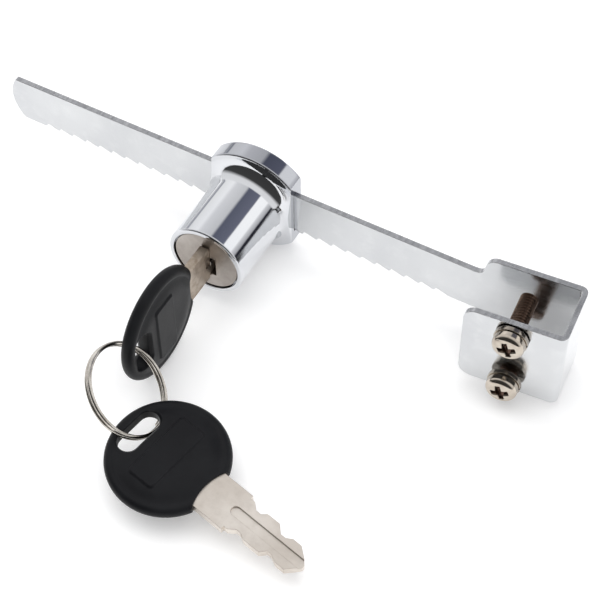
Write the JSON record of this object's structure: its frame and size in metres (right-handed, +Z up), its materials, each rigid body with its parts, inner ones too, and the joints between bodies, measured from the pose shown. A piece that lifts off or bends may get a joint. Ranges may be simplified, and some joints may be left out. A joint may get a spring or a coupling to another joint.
{
  "type": "sliding glass door ratchet lock",
  "caption": "Hooked ratchet bar with a sliding key cylinder that locks overlapping glass panels, clamp screws in the hook, and keys on a split ring.",
  "frame": {"origin": "centre of the hook's inner web face, where the edge of the glass panel seats", "axes": "+X along the ratchet bar towards the hook, which is bent 5.5 degrees from it about Z, -Y the side the lock cylinder and keys face, +Z up"},
  "size_m": [0.1415, 0.0798, 0.0262],
  "materials": {
    "strip_steel": "nickel-plated steel strip, satin polished, with plain cut edges",
    "lock_chrome": "polished chrome plate on die-cast zinc",
    "plug_satin": "turned face, nickel plated, satin",
    "pin_steel": "plain turned steel, oiled",
    "wafer_brass": "plain stamped brass",
    "spring_steel": "bright spring wire",
    "key_plate": "nickel-plated brass with worn, slightly warm edges",
    "key_plastic": "black moulded plastic, fine satin texture",
    "ring_steel": "bright nickel-plated spring steel",
    "screw_nickel": "nickel-plated steel, slightly warm",
    "washer_steel": "nickel-plated spring steel"
  },
  "bodies": {
    "bar": {"ratchet_bar": "strip_steel"},
    "lock": {"lock_housing": "lock_chrome", "spring_plug": "lock_chrome", "pawl_spring": "spring_steel"},
    "plug": {"plug_core": "plug_satin", "drive_pin": "pin_steel", "retaining_wafer": "wafer_brass", "wafer_1": "wafer_brass", "wafer_2": "wafer_brass", "wafer_3": "wafer_brass", "wafer_4": "wafer_brass", "wafer_5": "wafer_brass", "wafer_springs": "spring_steel"},
    "pawl": {"pawl": "pin_steel"},
    "key_1": {"key_1_blade": "key_plate", "key_1_head": "key_plastic"},
    "ring": {"split_ring": "ring_steel"},
    "key_2": {"key_2_blade": "key_plate", "key_2_head": "key_plastic"},
    "washer_upper": {"lock_washer_upper": "washer_steel"},
    "washer_lower": {"lock_washer_lower": "washer_steel"},
    "screw_upper": {"clamp_screw_upper": "screw_nickel"},
    "screw_lower": {"clamp_screw_lower": "screw_nickel"}
  },
  "joints": [
    {"name": "lock_slide", "type": "slide", "parent": "bar", "child": "lock", "axis": [1, 0, 0], "range_m": [-0.0781, 0.0426]},
    {"name": "plug_turn", "type": "hinge", "parent": "lock", "child": "plug", "pos_m": [-0.0758, -0.01678, 0], "axis": [0, 1, 0], "range_deg": [0, 90]},
    {"name": "pawl_lift", "type": "slide", "parent": "lock", "child": "pawl", "axis": [0, 0, 1], "range_m": [0, 0.0012], "deforming": ["pawl_spring"]},
    {"name": "key_1_withdraw", "type": "slide", "parent": "plug", "child": "key_1", "axis": [0, -1, 0], "range_m": [0, 0.03]},
    {"name": "ring_swing", "type": "hinge", "parent": "key_1", "child": "ring", "pos_m": [-0.07605, -0.04283, -0.00073], "axis": [1, 0, 0], "range_deg": [-35, 20]},
    {"name": "key_2_swing", "type": "hinge", "parent": "ring", "child": "key_2", "pos_m": [-0.06682, -0.05925, -0.00477], "axis": [-0.4303, -0.6604, 0.6154], "range_deg": [-40, 20]},
    {"name": "clamp_screw_upper_turn", "type": "hinge", "parent": "washer_upper", "child": "screw_upper", "pos_m": [-0.00892, -0.00965, 0.0068], "axis": [-0.0958, 0.9954, 0], "range_deg": [-2212, 160]},
    {"name": "clamp_screw_lower_turn", "type": "hinge", "parent": "washer_lower", "child": "screw_lower", "pos_m": [-0.00892, -0.00965, -0.0068], "axis": [-0.0958, 0.9954, 0], "range_deg": [-2212, 546]},
    {"name": "washer_upper_travel", "type": "slide", "parent": "bar", "child": "washer_upper", "axis": [-0.0958, 0.9954, 0], "range_m": [-0.0043, 0.00031]},
    {"name": "washer_lower_travel", "type": "slide", "parent": "bar", "child": "washer_lower", "axis": [-0.0958, 0.9954, 0], "range_m": [-0.0043, 0.00106]}
  ],
  "couplings": [
    {"joint": "pawl_lift", "follows": "plug_turn", "m_per_rad": 0.00076394},
    {"joint": "clamp_screw_upper_turn", "follows": "washer_upper_travel", "rad_per_m": 8976},
    {"joint": "clamp_screw_lower_turn", "follows": "washer_lower_travel", "rad_per_m": 8976}
  ]
}
